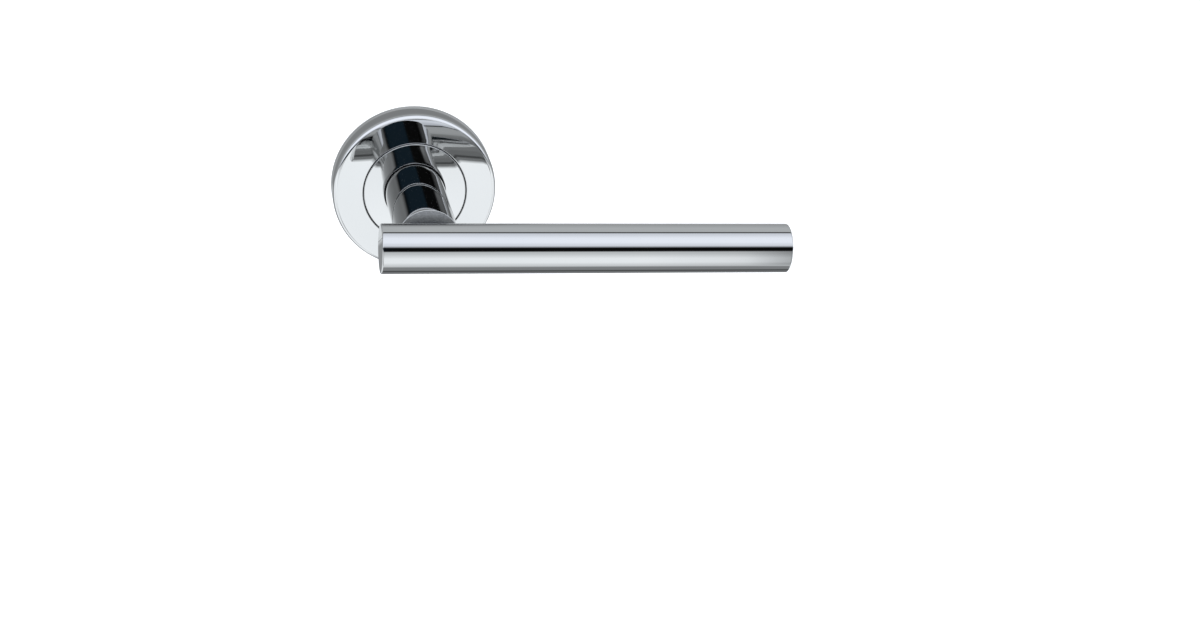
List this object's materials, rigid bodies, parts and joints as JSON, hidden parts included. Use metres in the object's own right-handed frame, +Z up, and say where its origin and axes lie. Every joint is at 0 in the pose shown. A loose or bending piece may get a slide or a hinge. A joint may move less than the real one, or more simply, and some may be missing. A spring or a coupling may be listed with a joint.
{
  "type": "lever door handle",
  "caption": "Lever door handle: a straight round bar across the end of a round neck, on a sprung round rose with a slide-off cover, spindle and door fixings.",
  "frame": {"origin": "on the spindle's axis, in the plane of the door face that the rose's back lies on", "axes": "+X along the lever from the neck to its free end, +Y into the door along the spindle, +Z up"},
  "size_m": [0.136, 0.1075, 0.052],
  "materials": {
    "polished_chrome": "polished",
    "zinc_plated_steel": "zinc plated",
    "spring_steel": "oiled",
    "brass": "turned",
    "nylon": "moulded"
  },
  "bodies": {
    "rose": {"face_disc": "polished_chrome", "backplate": "zinc_plated_steel", "stop_pin_rest": "zinc_plated_steel", "stop_pin_full": "zinc_plated_steel", "disc_screw_1": "zinc_plated_steel", "disc_screw_2": "zinc_plated_steel", "disc_screw_3": "zinc_plated_steel", "fixing_bolt_left": "zinc_plated_steel", "fixing_bolt_right": "zinc_plated_steel", "wood_screw_upper": "zinc_plated_steel", "wood_screw_lower": "zinc_plated_steel", "return_spring": "spring_steel", "cover_snap_ring": "spring_steel", "front_bush": "nylon", "rear_bush": "nylon"},
    "lever": {"neck": "polished_chrome", "lever_bar": "polished_chrome", "bar_plug_near": "polished_chrome", "bar_plug_far": "polished_chrome", "bar_anchor": "brass", "bar_screw": "zinc_plated_steel", "spindle": "zinc_plated_steel", "grub_screw": "zinc_plated_steel", "spring_driver": "zinc_plated_steel", "circlip": "spring_steel", "thrust_washer": "zinc_plated_steel"},
    "cover": {"rose_cover": "polished_chrome"}
  },
  "joints": [
    {"name": "lever_turn", "type": "hinge", "parent": "rose", "child": "lever", "pos_m": [0, 0, 0], "axis": [0, 1, 0], "range_deg": [0, 45], "stiffness_Nm_per_rad": 1, "springref_deg": -20.05, "deforming": ["return_spring"]},
    {"name": "cover_slide", "type": "slide", "parent": "rose", "child": "cover", "axis": [0, -1, 0], "range_m": [0, 0.03]}
  ]
}
